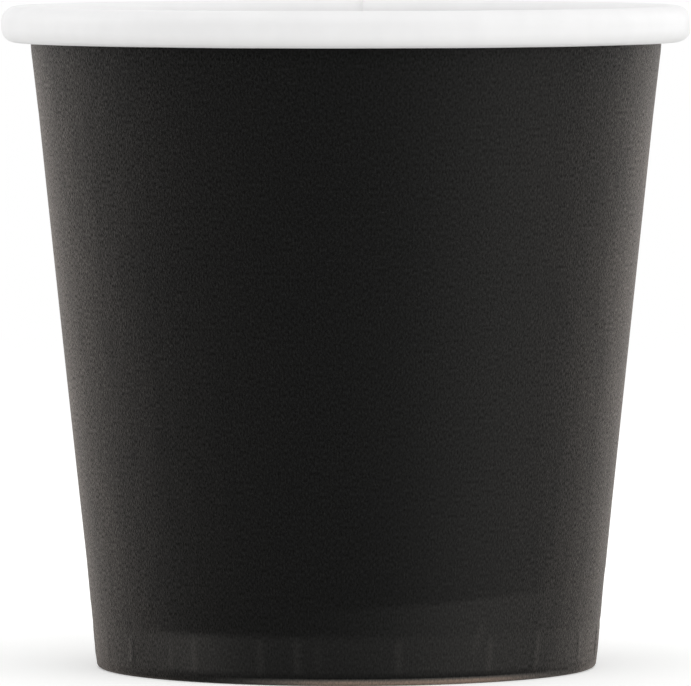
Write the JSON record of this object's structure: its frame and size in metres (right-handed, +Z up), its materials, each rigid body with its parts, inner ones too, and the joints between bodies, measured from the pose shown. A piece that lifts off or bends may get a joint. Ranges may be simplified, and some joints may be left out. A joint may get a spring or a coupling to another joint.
{
  "type": "disposable espresso cup",
  "caption": "Small single-wall paper cup for espresso: black lapped side wall with a white rolled rim, folded foot and raised base.",
  "frame": {"origin": "centre of the foot, on the table that the cup stands on", "axes": "+Z up through the mouth, +Y to the back where the side wall's lap seam is, +X to the right seen from the front"},
  "size_m": [0.062, 0.062, 0.0595],
  "materials": {
    "black_paper": "matte",
    "white_paper": "satin"
  },
  "bodies": {
    "root": {"side_wall": "black_paper", "base": "white_paper"}
  },
  "joints": []
}
